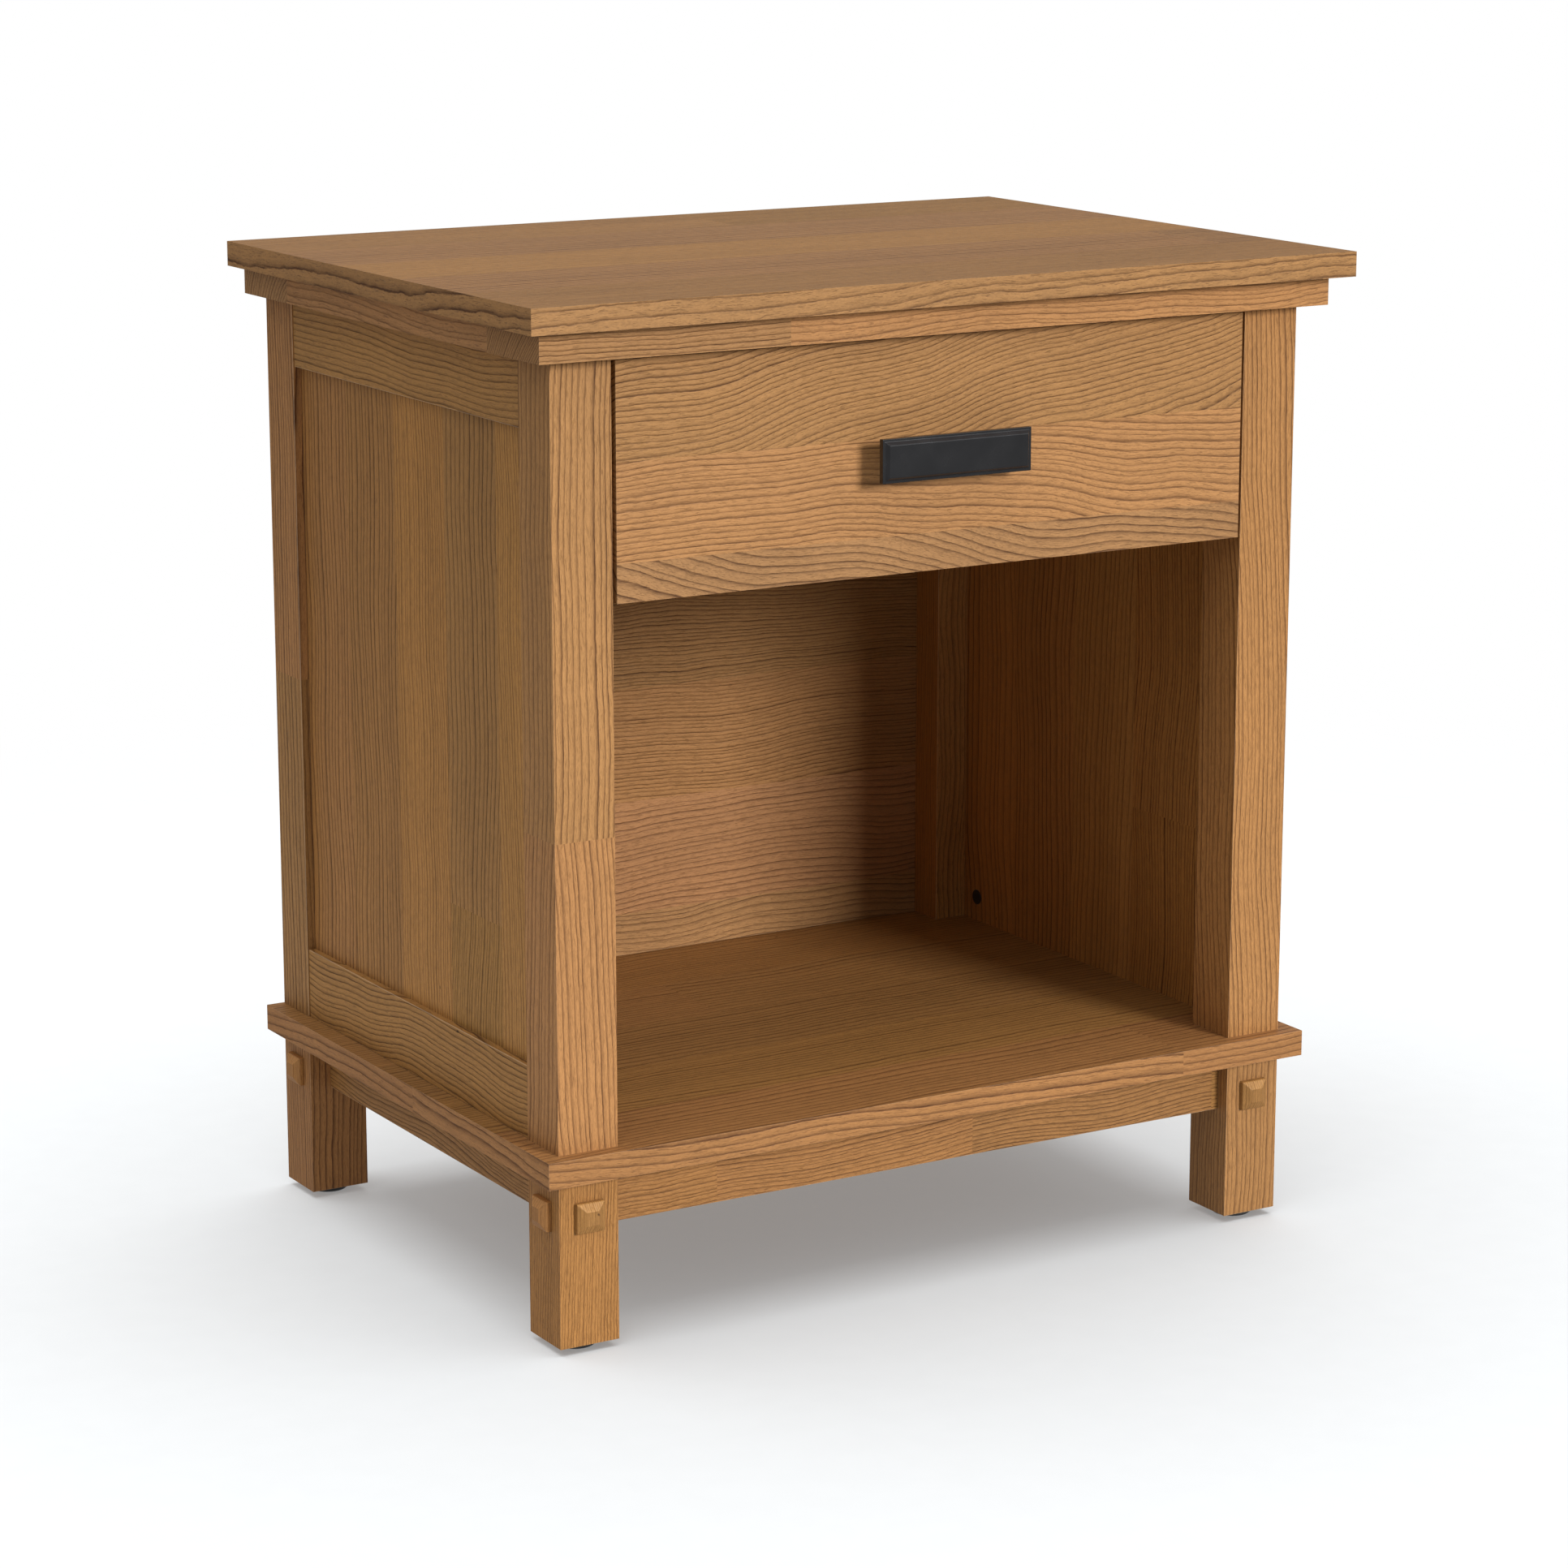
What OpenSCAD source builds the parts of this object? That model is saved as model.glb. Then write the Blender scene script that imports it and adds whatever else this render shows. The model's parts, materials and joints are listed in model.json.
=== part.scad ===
// Nightstand with one drawer over an open shelf bay.
// The origin is on the floor, at the middle of the footprint. X runs to the right, Y to the back, Z up.

/* [Top] */
// Width of the top slab
top_w = 610; // [580:1:650]
// Depth of the top slab, front to back
top_d = 439; // [436:1:460]
// Thickness of the top slab
top_t = 16.5; // [14:0.5:25]
// Thickness of the stepped frame under the top slab
frame_t = 19.2; // [18:0.2:25]
// Width of the boards that make up that frame
frame_board_w = 68; // [62:1:80]
// How far the top slab oversails the frame at each side
top_side_step = 12; // [4:0.5:20]
// How far the top slab oversails the frame at the front
top_front_step = 13.5; // [4:0.5:20]

/* [Carcass] */
// How far the frame oversails the posts at each side
frame_side_step = 14.5; // [6:0.5:20]
// How far the frame oversails the posts at the front
frame_front_step = 15; // [6:0.5:20]
// Gap between the back of the posts and the back edge of the top
post_back_step = 1.5; // [0:0.5:6]
// Width of a post and of a leg, across the front
post_w = 42; // [40:1:50]
// Depth of a post and of a leg, front to back
post_d = 41; // [40:1:50]
// Height of a post, from the shelf to the frame
post_h = 497.5; // [470:0.5:560]
// Thickness of the side panels
panel_t = 10; // [8:0.5:11]
// How far a side panel lies inside the outer face of the posts
panel_recess = 6.4; // [5:0.2:8]
// How far the side rails lie inside the outer face of the posts
rail_recess = 1; // [0:0.5:2]
// Height of the upper side rails
upper_rail_h = 46; // [30:1:60]
// Height of the lower side rails
lower_rail_h = 48; // [30:1:60]
// Thickness of the back panel
back_t = 8; // [6:0.5:9]
// How far the back panel lies inside the back of the rear posts
back_recess = 3; // [2:0.5:4]
// Depth of the grooves that hold the panels
groove_depth = 10; // [8:0.5:11]
// Room left in a groove for the panel to move
groove_room = 2; // [1:0.5:3]

/* [Base] */
// Thickness of the lower shelf
shelf_t = 17.5; // [16:0.5:25]
// How far the shelf oversails the posts at each side
shelf_side_step = 12.5; // [4:0.5:14]
// How far the shelf oversails the posts at the front
shelf_front_step = 11; // [4:0.5:14]
// Length of a leg below the shelf
leg_h = 110; // [100:1:150]
// Thickness of the aprons
apron_t = 19; // [16:0.5:19]
// Height of the aprons
apron_h = 35.5; // [34:0.5:60]
// How far the front and rear aprons lie inside the leg faces
apron_front_setback = 10; // [6:0.5:11]
// How far the side aprons lie inside the leg faces
apron_side_setback = 15; // [12:0.5:15]
// Side length of the square pegs on the legs
peg_w = 20; // [14:1:22]
// How far the straight part of a peg stands out of the leg
peg_proud = 3.2; // [1:0.2:4]
// Extra height of the bevelled head of a peg
peg_rise = 3.0; // [1:0.2:4]
// Side length of the flat at the tip of a peg
peg_flat = 9; // [4:0.5:12]
// Diameter of the floor glides
glide_d = 28; // [16:1:30]
// Height of the floor glides
glide_h = 5; // [3:0.5:8]

/* [Drawer] */
// Gap around the drawer front
front_gap = 2.5; // [2:0.5:4]
// How far the drawer front stands proud of the posts
front_proud = 1; // [0:0.5:3]
// Thickness of the drawer front
front_t = 19; // [16:0.5:19]
// Height of the drawer front
front_h = 149.5; // [135:0.5:180]
// Height of the drawer box
box_h = 110; // [100:1:115]
// Thickness of the drawer box boards
box_t = 12; // [10:0.5:14]
// Thickness of the drawer bottom
bottom_t = 6; // [4:0.5:8]
// Length of the drawer slides and of the drawer box
slide_l = 350; // [300:10:350]

/* [Pull] */
// Width of the pull plate
pull_w = 111; // [96:1:160]
// Height of the pull plate
pull_h = 28; // [20:1:40]
// Thickness of the pull plate at its rim
pull_rim_t = 4; // [3:0.5:6]
// Width of the flat rim around the raised face
pull_rim_w = 1.7; // [1:0.1:3]
// Width of the bevel between the rim and the raised face
pull_bevel_w = 2.1; // [1:0.1:4]
// Height of the raised face above the rim
pull_rise = 2.5; // [1:0.5:4]
// Gap between the drawer front and the back of the pull plate
pull_gap = 15.3; // [12:0.1:16]
// Distance between the two pull posts
pull_spacing = 76; // [64:1:76]
// Diameter of the pull posts
pull_post_d = 11; // [8:0.5:12]

/* [Hidden] */
$fn = 48;

// Finishes
honey_wood = [0.74, 0.52, 0.31];
pale_wood = [0.83, 0.70, 0.50];
black_metal = [0.10, 0.10, 0.11];
black_plastic = [0.06, 0.06, 0.07];
zinc_steel = [0.72, 0.74, 0.76];

// How far a cutter runs past the face that it cuts
overrun = 1;

// Heights, from the floor up
peg_drop = 25;
leg_z = glide_h;
shelf_z = leg_z + leg_h;
post_z = shelf_z + shelf_t;
frame_z = post_z + post_h;
top_z = frame_z + frame_t;
apron_z = shelf_z - apron_h;
peg_z = shelf_z - peg_drop;

// Depths. The back edges of the top, the frame and the shelf line up.
top_y = -top_d / 2;
back_y = top_d / 2;
frame_y = top_y + top_front_step;
case_y = frame_y + frame_front_step;
case_back_y = back_y - post_back_step;
shelf_y = case_y - shelf_front_step;
front_post_back_y = case_y + post_d;
rear_post_front_y = case_back_y - post_d;
back_panel_y = case_back_y - back_recess - back_t;
front_apron_y = case_y + apron_front_setback;
rear_apron_y = case_back_y - apron_front_setback - apron_t;

// Half widths, measured from the middle
frame_x = top_w / 2 - top_side_step;
case_x = frame_x - frame_side_step;
shelf_x = case_x + shelf_side_step;
bay_x = case_x - post_w;
panel_out_x = case_x - panel_recess;
panel_in_x = panel_out_x - panel_t;
post_mid_x = case_x - post_w / 2;
front_post_mid_y = case_y + post_d / 2;
rear_post_mid_y = case_back_y - post_d / 2;

// Joinery
dowel_d = 10;
dowel_depth = 30;
dowel_top_depth = 12;
peg_depth = 8;
tenon_l = 11;
tenon_t = 9;
tenon_shoulder = 5;
glide_pin_d = 3;
glide_pin_l = 16;
glide_rim = 1.5;
block_leg = 45;
block_h = 25;
base_screw_inset = 8;
frame_screw_xs = [-150, 0, 150];
side_screw_inset = 6;
side_screw_x = panel_in_x - side_screw_inset;
screw_d = 4;
screw_head_d = 8;
countersink_h = 2.4;
pan_head_h = 2.2;
screw_bite = 10;
cap_d = 10;
cap_rim_d = 11;
cap_depth = 5;
cap_proud = 0.8;
cap_up = 18;
cap_inset = 17;
cap_z = post_z + cap_up;
cap_y = rear_post_front_y - cap_inset;

// Drawer slides: u is measured from the bay wall towards the drawer, v up from the slide's middle
slide_w = 12.7;
slide_half_h = 22.5;
sheet_t = 1.2;
lip_h = 1;
ball_d = 2.8;
ball_room = 0.3;
race_gap = ball_d + 2 * ball_room;
middle_half_h = slide_half_h - sheet_t - race_gap;
inner_half_h = middle_half_h - sheet_t - race_gap;
outer_reach = 9.5;
middle_u = 3;
middle_reach = 10.8;
inner_u = 5.4;
cage_w = 4;
cage_t = 0.8;
cage_trim = 7;
cage_l = slide_l / 2 - cage_trim;
balls_in_row = 8;
outer_ball_u = 6.5;
inner_ball_u = 8;
slide_head_h = 1.3;
slide_head_d = 7;
slide_screw_d = 3.5;
slide_screw_l = 10;
access_hole_d = 12;
slide_setback = 2;
slide_drop = 10;
front_screw_inset = 12;
other_screw_inset = 30;

// Drawer
box_up = 12;
front_y = case_y - front_proud;
front_back_y = front_y + front_t;
front_top_z = frame_z - front_gap;
front_z = front_top_z - front_h;
front_x = bay_x - front_gap;
box_x = bay_x - slide_w;
box_in_x = box_x - box_t;
box_y = front_back_y;
box_back_y = box_y + slide_l;
box_z = front_z + box_up;
bottom_up = 10;
bottom_groove = 5;
slide_z = box_z + box_h / 2 - slide_drop;
slide_y = front_back_y + slide_setback;
slide_mid_y = slide_y + slide_l / 2;
slide_screw_ys = [
    slide_y + front_screw_inset,
    slide_mid_y + other_screw_inset,
    slide_y + slide_l - other_screw_inset
];
tail_count = 4;
tail_neck = 8;
tail_flare = 2;
cleat_h = 60;
pull_up = 1;
pull_z = front_z + front_h / 2 + pull_up;
pull_back_y = front_y - pull_gap;
pull_screw_bite = 12;
front_screw_x = 150;
front_screw_step = 30;

// ---------------------------------------------------------------- shared shapes

// A box between two opposite corners
module block(low, high) {
    translate(low) cube(high - low);
}

// Shapes are drawn on the right; this mirrors them for the left
module on_side(side) {
    if (side < 0) {
        mirror([1, 0, 0]) children();
    } else {
        children();
    }
}

// A rod that starts at a point and runs along +Z, +Y, -Y or +X
module rod_up(start, d, l) {
    translate(start) cylinder(d = d, h = l);
}
module rod_back(start, d, l) {
    translate(start) rotate([-90, 0, 0]) cylinder(d = d, h = l);
}
module rod_front(start, d, l) {
    translate(start) rotate([90, 0, 0]) cylinder(d = d, h = l);
}
module rod_right(start, d, l) {
    translate(start) rotate([0, 90, 0]) cylinder(d = d, h = l);
}

// A four-sided bevelled head: a base rectangle that narrows to a flat, rising along +Z
module bevel_head(base, flat, rise) {
    intersection() {
        rotate([90, 0, 0]) linear_extrude(base[1], center = true)
            polygon([[-base[0] / 2, 0], [base[0] / 2, 0], [flat[0] / 2, rise], [-flat[0] / 2, rise]]);
        rotate([90, 0, 90]) linear_extrude(base[0], center = true)
            polygon([[-base[1] / 2, 0], [base[1] / 2, 0], [flat[1] / 2, rise], [-flat[1] / 2, rise]]);
    }
}

// A countersunk wood screw, head down, pointing up
module countersunk_screw(start, l) {
    translate(start) cylinder(d1 = screw_head_d, d2 = screw_d, h = countersink_h);
    rod_up(start, screw_d, l);
}

// ---------------------------------------------------------------- fasteners, also used as cutters

module dowels_lower_shape() {
    for (x = [-post_mid_x, post_mid_x], y = [front_post_mid_y, rear_post_mid_y])
        rod_up([x, y, shelf_z - dowel_depth], dowel_d, shelf_t + 2 * dowel_depth);
}

module dowels_upper_shape() {
    for (x = [-post_mid_x, post_mid_x], y = [front_post_mid_y, rear_post_mid_y])
        rod_up([x, y, frame_z - dowel_depth], dowel_d, dowel_depth + dowel_top_depth);
}

module top_screws_shape() {
    long_ys = [frame_y + frame_board_w / 2, back_y - frame_board_w / 2];
    for (y = long_ys, x = frame_screw_xs)
        countersunk_screw([x, y, frame_z], frame_t + screw_bite);
    for (x = [-side_screw_x, side_screw_x])
        countersunk_screw([x, 0, frame_z], frame_t + screw_bite);
}

module base_screws_shape() {
    x = bay_x - base_screw_inset;
    for (sx = [-x, x], y = [front_post_back_y + base_screw_inset, rear_post_front_y - base_screw_inset])
        countersunk_screw([sx, y, shelf_z - block_h], block_h + screw_bite);
}

module glide_pins_shape() {
    for (x = [-post_mid_x, post_mid_x], y = [front_post_mid_y, rear_post_mid_y])
        rod_up([x, y, leg_z], glide_pin_d, glide_pin_l);
}

module caps_shape() {
    for (side = [-1, 1])
        on_side(side) {
            rod_right([panel_in_x, cap_y, cap_z], cap_d, cap_depth);
            rod_right([panel_in_x - cap_proud, cap_y, cap_z], cap_rim_d, cap_proud);
        }
}

// Screws that hold the outer slide members: flat heads inside the channel, shanks into the wood
module cleat_screws_shape() {
    for (side = [-1, 1], y = slide_screw_ys)
        on_side(side) {
            rod_right([bay_x - sheet_t - slide_head_h, y, slide_z], slide_head_d, slide_head_h);
            rod_right([bay_x - sheet_t, y, slide_z], slide_screw_d, sheet_t + slide_screw_l);
        }
}

// Screws that hold the inner slide members to the drawer sides
module drawer_slide_screws_shape() {
    for (side = [-1, 1], y = slide_screw_ys)
        on_side(side) {
            rod_right([box_x + sheet_t, y, slide_z], slide_head_d, slide_head_h);
            rod_right([box_x - slide_screw_l, y, slide_z], slide_screw_d, sheet_t + slide_screw_l);
        }
}

// Pan-head screws that hold the drawer front to the box, driven from inside
module front_screws_shape() {
    for (x = [-front_screw_x, front_screw_x], z = [-front_screw_step, front_screw_step])
        pan_screw([x, box_y + box_t, pull_z + z], box_t + pull_screw_bite);
}

module pull_screws_shape() {
    for (x = [-pull_spacing / 2, pull_spacing / 2])
        pan_screw([x, box_y + box_t, pull_z], box_t + front_t + pull_screw_bite);
}

// A pan-head screw that points to the front, with its head behind the start point
module pan_screw(start, l) {
    rod_front(start, screw_d, l);
    rod_back(start, screw_head_d, pan_head_h);
}

// ---------------------------------------------------------------- top

module top_panel() {
    color(honey_wood)
        difference() {
            block([-top_w / 2, top_y, top_z], [top_w / 2, back_y, top_z + top_t]);
            top_screws_shape();
        }
}

module frame_board(low, high) {
    color(honey_wood)
        difference() {
            block(low, high);
            top_screws_shape();
            dowels_upper_shape();
        }
}

module top_frame_front() {
    frame_board([-frame_x, frame_y, frame_z], [frame_x, frame_y + frame_board_w, top_z]);
}

module top_frame_rear() {
    frame_board([-frame_x, back_y - frame_board_w, frame_z], [frame_x, back_y, top_z]);
}

module top_frame_side(side) {
    on_side(side)
        frame_board(
            [frame_x - frame_board_w, frame_y + frame_board_w, frame_z],
            [frame_x, back_y - frame_board_w, top_z]
        );
}

// ---------------------------------------------------------------- posts, panels and rails

// The groove for a side panel in one post, cut from the post face that looks along the side
module side_groove(y0, y1) {
    block([panel_in_x, y0, post_z - overrun], [panel_out_x, y1, frame_z + overrun]);
}

module back_groove() {
    block(
        [bay_x - overrun, back_panel_y, post_z - overrun],
        [bay_x + groove_depth, back_panel_y + back_t, frame_z + overrun]
    );
}

module post_front(side) {
    color(honey_wood)
        difference() {
            on_side(side)
                difference() {
                    block([bay_x, case_y, post_z], [case_x, front_post_back_y, frame_z]);
                    side_groove(front_post_back_y - groove_depth, front_post_back_y + overrun);
                }
            dowels_lower_shape();
            dowels_upper_shape();
            cleat_screws_shape();
        }
}

module post_rear(side) {
    color(honey_wood)
        difference() {
            on_side(side)
                difference() {
                    block([bay_x, rear_post_front_y, post_z], [case_x, case_back_y, frame_z]);
                    side_groove(rear_post_front_y - overrun, rear_post_front_y + groove_depth);
                    back_groove();
                }
            dowels_lower_shape();
            dowels_upper_shape();
        }
}

module side_panel(side) {
    tongue = groove_depth - groove_room;
    color(honey_wood)
        difference() {
            on_side(side)
                block(
                    [panel_in_x, front_post_back_y - tongue, post_z],
                    [panel_out_x, rear_post_front_y + tongue, frame_z]
                );
            caps_shape();
        }
}

module side_rail(side, z0, z1) {
    color(honey_wood)
        on_side(side)
            block(
                [panel_out_x, front_post_back_y, z0],
                [case_x - rail_recess, rear_post_front_y, z1]
            );
}

module back_panel() {
    half = bay_x + groove_depth - groove_room;
    color(honey_wood)
        block([-half, back_panel_y, post_z], [half, back_panel_y + back_t, frame_z]);
}

module panel_caps() {
    color(black_plastic) caps_shape();
}

// ---------------------------------------------------------------- base

module lower_shelf() {
    color(honey_wood)
        difference() {
            block([-shelf_x, shelf_y, shelf_z], [shelf_x, back_y, post_z]);
            dowels_lower_shape();
            base_screws_shape();
        }
}

// Pegs are square bars set in the leg, with a bevelled head. They are drawn at one leg face.
module peg_out() {
    translate([-peg_w / 2, -peg_w / 2, -peg_depth]) cube([peg_w, peg_w, peg_depth + peg_proud]);
    translate([0, 0, peg_proud]) bevel_head([peg_w, peg_w], [peg_flat, peg_flat], peg_rise);
}

module front_pegs_shape() {
    for (x = [-post_mid_x, post_mid_x])
        translate([x, case_y, peg_z]) rotate([90, 0, 0]) peg_out();
}

module side_pegs_shape(side) {
    on_side(side)
        for (y = [front_post_mid_y, rear_post_mid_y])
            translate([case_x, y, peg_z]) rotate([0, 90, 0]) peg_out();
}

module pegs_front() {
    color(honey_wood) front_pegs_shape();
}

module pegs_side(side) {
    color(honey_wood) side_pegs_shape(side);
}

// Stub tenon at the end of a front or rear apron
module long_tenon(side, y) {
    on_side(side)
        block(
            [bay_x - overrun, y + tenon_shoulder, apron_z + tenon_shoulder],
            [bay_x + tenon_l, y + tenon_shoulder + tenon_t, shelf_z - tenon_shoulder]
        );
}

// Stub tenon at the end of a side apron, from the leg face at y towards the leg's middle
module short_tenon(side, y0, y1) {
    x1 = case_x - apron_side_setback - tenon_shoulder;
    on_side(side)
        block([x1 - tenon_t, y0, apron_z + tenon_shoulder], [x1, y1, shelf_z - tenon_shoulder]);
}

module leg(side, y0, apron_y, tenon_y0, tenon_y1) {
    color(honey_wood)
        difference() {
            on_side(side) block([bay_x, y0, leg_z], [case_x, y0 + post_d, shelf_z]);
            dowels_lower_shape();
            glide_pins_shape();
            front_pegs_shape();
            side_pegs_shape(side);
            long_tenon(side, apron_y);
            short_tenon(side, tenon_y0, tenon_y1);
        }
}

module leg_front(side) {
    leg(side, case_y, front_apron_y, front_post_back_y - tenon_l, front_post_back_y + overrun);
}

module leg_rear(side) {
    leg(side, rear_post_front_y, rear_apron_y, rear_post_front_y - overrun, rear_post_front_y + tenon_l);
}

module apron_long(y) {
    color(honey_wood) {
        block([-bay_x, y, apron_z], [bay_x, y + apron_t, shelf_z]);
        long_tenon(-1, y);
        long_tenon(1, y);
    }
}

module apron_side(side) {
    x1 = case_x - apron_side_setback;
    color(honey_wood) {
        on_side(side)
            block([x1 - apron_t, front_post_back_y, apron_z], [x1, rear_post_front_y, shelf_z]);
        short_tenon(side, front_post_back_y - tenon_l, front_post_back_y + overrun);
        short_tenon(side, rear_post_front_y - overrun, rear_post_front_y + tenon_l);
    }
}

// Glued block that fills the corner behind a leg, notched round the leg. The signs pick the corner.
module corner_block(sx, leg_inner_y, apron_inner_y, sy) {
    apron_x = case_x - apron_side_setback - apron_t;
    translate([0, 0, shelf_z - block_h])
        linear_extrude(block_h)
            polygon([
                [sx * (bay_x - block_leg), apron_inner_y],
                [sx * bay_x, apron_inner_y],
                [sx * bay_x, leg_inner_y],
                [sx * apron_x, leg_inner_y],
                [sx * apron_x, leg_inner_y + sy * block_leg]
            ]);
}

module corner_blocks() {
    color(pale_wood)
        difference() {
            for (sx = [-1, 1]) {
                corner_block(sx, front_post_back_y, front_apron_y + apron_t, 1);
                corner_block(sx, rear_post_front_y, rear_apron_y, -1);
            }
            base_screws_shape();
        }
}

module base_screws() {
    color(zinc_steel) base_screws_shape();
}

// Plastic disc with a rounded lower edge, on a nail that is driven into the leg
module leg_glides() {
    r = glide_d / 2;
    color(black_plastic) {
        for (x = [-post_mid_x, post_mid_x], y = [front_post_mid_y, rear_post_mid_y])
            translate([x, y, 0])
                rotate_extrude()
                    polygon([[0, 0], [r - glide_rim, 0], [r, glide_rim], [r, glide_h], [0, glide_h]]);
        glide_pins_shape();
    }
}

module post_dowels_lower() {
    color(pale_wood) dowels_lower_shape();
}

module post_dowels_upper() {
    color(pale_wood) dowels_upper_shape();
}

module top_screws() {
    color(zinc_steel) top_screws_shape();
}

// ---------------------------------------------------------------- drawer slides

// Wooden spacer between the posts that brings the slide flush with the post faces
module slide_cleat(side) {
    color(pale_wood)
        difference() {
            on_side(side)
                block(
                    [bay_x, front_post_back_y, slide_z - cleat_h / 2],
                    [panel_in_x, rear_post_front_y, slide_z + cleat_h / 2]
                );
            cleat_screws_shape();
        }
}

// Extrudes a profile drawn in u (towards the drawer) and v (up) along the slide's length
module slide_member(side, y0, l) {
    on_side(side)
        translate([bay_x, y0, slide_z])
            rotate([90, 0, 180])
                linear_extrude(l)
                    children();
}

// Channel with its web at u0 and two flanges that reach u1, the outer faces at +-half_h
module channel(u0, u1, half_h, web_at) {
    translate([web_at, -half_h]) square([sheet_t, 2 * half_h]);
    for (v = [-half_h, half_h - sheet_t])
        translate([u0, v]) square([u1 - u0, sheet_t]);
}

// Turned-in edges that keep the balls on their race
module race_lips(u1, half_h) {
    for (v = [-half_h + sheet_t, half_h - sheet_t - lip_h])
        translate([u1 - sheet_t, v]) square([sheet_t, lip_h]);
}

module slide_outer(side) {
    color(zinc_steel)
        difference() {
            slide_member(side, slide_y, slide_l) {
                channel(0, outer_reach, slide_half_h, 0);
                race_lips(outer_reach, slide_half_h);
            }
            cleat_screws_shape();
        }
}

module slide_middle(side) {
    color(zinc_steel)
        difference() {
            slide_member(side, slide_y, slide_l) {
                channel(middle_u, middle_reach, middle_half_h, middle_u);
                race_lips(middle_reach, middle_half_h);
            }
            for (y = slide_screw_ys)
                on_side(side) rod_right([bay_x - slide_w, y, slide_z], access_hole_d, slide_w);
        }
}

module slide_inner(side) {
    color(zinc_steel)
        difference() {
            slide_member(side, slide_y, slide_l)
                channel(inner_u, slide_w, inner_half_h, slide_w - sheet_t);
            drawer_slide_screws_shape();
        }
}

// Two retainer strips, above and below, each with a row of balls
module ball_cage(side, ball_u, ball_v) {
    pitch = cage_l / balls_in_row;
    y0 = slide_mid_y - cage_l / 2;
    color(zinc_steel) {
        slide_member(side, y0, cage_l)
            for (v = [-ball_v, ball_v])
                translate([ball_u - cage_w / 2, v - cage_t / 2]) square([cage_w, cage_t]);
        on_side(side)
            for (v = [-ball_v, ball_v], i = [0 : balls_in_row - 1])
                translate([bay_x - ball_u, y0 + pitch * (i + 0.5), slide_z + v])
                    sphere(d = ball_d, $fn = 24);
    }
}

module ball_cage_outer(side) {
    ball_cage(side, outer_ball_u, slide_half_h - sheet_t - race_gap / 2);
}

module ball_cage_inner(side) {
    ball_cage(side, inner_ball_u, middle_half_h - sheet_t - race_gap / 2);
}

module cleat_screws() {
    color(zinc_steel) cleat_screws_shape();
}

module drawer_slide_screws() {
    color(zinc_steel) drawer_slide_screws_shape();
}

// ---------------------------------------------------------------- drawer

module drawer_front() {
    color(honey_wood)
        difference() {
            block([-front_x, front_y, front_z], [front_x, front_back_y, front_top_z]);
            front_screws_shape();
            pull_screws_shape();
        }
}

module drawer_bottom_shape() {
    half = box_in_x + bottom_groove;
    block(
        [-half, box_y + box_t - bottom_groove, box_z + bottom_up],
        [half, box_back_y - box_t + bottom_groove, box_z + bottom_up + bottom_t]
    );
}

// The dovetails of one side board at its front or back end. dir points out of the board.
module tails(side, shoulder_y, dir) {
    pitch = box_h / tail_count;
    on_side(side)
        for (i = [0 : tail_count - 1])
            translate([box_in_x, shoulder_y, box_z + pitch * (i + 0.5)])
                rotate([90, 0, 90])
                    linear_extrude(box_t)
                        polygon([
                            [0, -tail_neck],
                            [dir * box_t, -tail_neck - tail_flare],
                            [dir * box_t, tail_neck + tail_flare],
                            [0, tail_neck]
                        ]);
}

module drawer_side(side) {
    color(pale_wood)
        difference() {
            union() {
                on_side(side)
                    block([box_in_x, box_y + box_t, box_z], [box_x, box_back_y - box_t, box_z + box_h]);
                tails(side, box_y + box_t, -1);
                tails(side, box_back_y - box_t, 1);
            }
            drawer_bottom_shape();
            drawer_slide_screws_shape();
        }
}

// A board across the box, with sockets for the tails of both sides
module box_end(y0, shoulder_y, dir) {
    color(pale_wood)
        difference() {
            block([-box_x, y0, box_z], [box_x, y0 + box_t, box_z + box_h]);
            tails(-1, shoulder_y, dir);
            tails(1, shoulder_y, dir);
            drawer_bottom_shape();
            front_screws_shape();
            pull_screws_shape();
        }
}

module drawer_box_front() {
    box_end(box_y, box_y + box_t, -1);
}

module drawer_back() {
    box_end(box_back_y - box_t, box_back_y - box_t, 1);
}

module drawer_bottom() {
    color(pale_wood) drawer_bottom_shape();
}

module drawer_front_screws() {
    color(zinc_steel) front_screws_shape();
}

// Bevelled plate on two posts
module drawer_pull() {
    inset = 2 * pull_rim_w;
    flat_inset = inset + 2 * pull_bevel_w;
    rim_y = pull_back_y - pull_rim_t;
    color(black_metal)
        difference() {
            union() {
                block(
                    [-pull_w / 2, rim_y, pull_z - pull_h / 2],
                    [pull_w / 2, pull_back_y, pull_z + pull_h / 2]
                );
                translate([0, rim_y, pull_z])
                    rotate([90, 0, 0])
                        bevel_head(
                            [pull_w - inset, pull_h - inset],
                            [pull_w - flat_inset, pull_h - flat_inset],
                            pull_rise
                        );
                for (x = [-pull_spacing / 2, pull_spacing / 2])
                    rod_front([x, front_y, pull_z], pull_post_d, pull_gap);
            }
            pull_screws_shape();
        }
}

module pull_screws() {
    color(zinc_steel) pull_screws_shape();
}

// ---------------------------------------------------------------- every node

top_panel();
top_frame_front();
top_frame_rear();
top_frame_side(-1);  // top_frame_left
top_frame_side(1);  // top_frame_right
post_front(-1);  // post_front_left
post_front(1);  // post_front_right
post_rear(-1);  // post_rear_left
post_rear(1);  // post_rear_right
side_panel(-1);  // side_panel_left
side_panel(1);  // side_panel_right
side_rail(-1, frame_z - upper_rail_h, frame_z);  // side_rail_upper_left
side_rail(1, frame_z - upper_rail_h, frame_z);  // side_rail_upper_right
side_rail(-1, post_z, post_z + lower_rail_h);  // side_rail_lower_left
side_rail(1, post_z, post_z + lower_rail_h);  // side_rail_lower_right
back_panel();
lower_shelf();
leg_front(-1);  // leg_front_left
leg_front(1);  // leg_front_right
leg_rear(-1);  // leg_rear_left
leg_rear(1);  // leg_rear_right
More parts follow.
